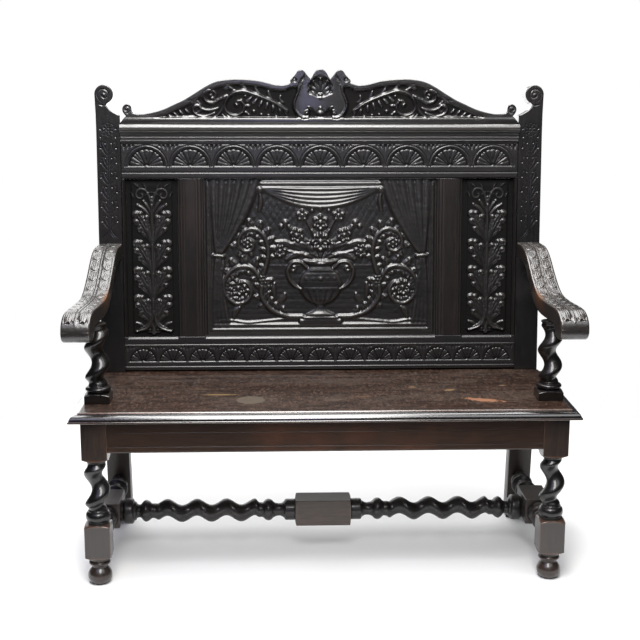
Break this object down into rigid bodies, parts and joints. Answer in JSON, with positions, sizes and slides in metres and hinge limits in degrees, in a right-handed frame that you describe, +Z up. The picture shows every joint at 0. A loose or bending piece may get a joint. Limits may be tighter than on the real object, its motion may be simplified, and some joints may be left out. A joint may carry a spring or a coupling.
{
  "type": "settle bench",
  "caption": "High-backed carved oak settle with a panelled raked back, shaped crest, scroll arms and barley-twist legs and stretchers.",
  "frame": {"origin": "centre of the bounding box in X and Y, at floor level: the middle of the bench's footprint", "axes": "+Z up, +Y towards the back, so the seat opens towards -Y; +X to the right as seen from the front"},
  "size_m": [1.333, 0.5532, 1.3232],
  "materials": {
    "carved_oak": "dark fumed oak, waxed",
    "frame_oak": "dark fumed oak, waxed and polished",
    "rail_oak": "dark red-brown oak, waxed",
    "seat_oak": "worn red-brown oak with scuffs",
    "block_wood": "unfinished softwood"
  },
  "bodies": {
    "root": {"front_leg_left": "frame_oak", "front_leg_right": "frame_oak", "rear_post_left": "frame_oak", "rear_post_right": "frame_oak", "seat_board": "seat_oak", "front_apron": "rail_oak", "side_apron_left": "rail_oak", "side_apron_right": "rail_oak", "rear_seat_rail": "rail_oak", "side_stretcher_left": "frame_oak", "side_stretcher_right": "frame_oak", "medial_stretcher": "frame_oak", "arm_left": "frame_oak", "arm_right": "frame_oak", "arm_support_left": "frame_oak", "arm_support_right": "frame_oak", "lower_lunette_rail": "carved_oak", "upper_lunette_rail": "carved_oak", "muntin_left": "rail_oak", "muntin_right": "rail_oak", "edge_stile_left": "carved_oak", "edge_stile_right": "carved_oak", "leaf_panel_left": "carved_oak", "leaf_panel_right": "carved_oak", "centre_panel": "carved_oak", "cornice_moulding": "frame_oak", "crest_rail": "carved_oak", "glue_block_front_left": "block_wood", "glue_block_front_right": "block_wood", "glue_block_rear_left": "block_wood", "glue_block_rear_right": "block_wood"}
  },
  "joints": []
}
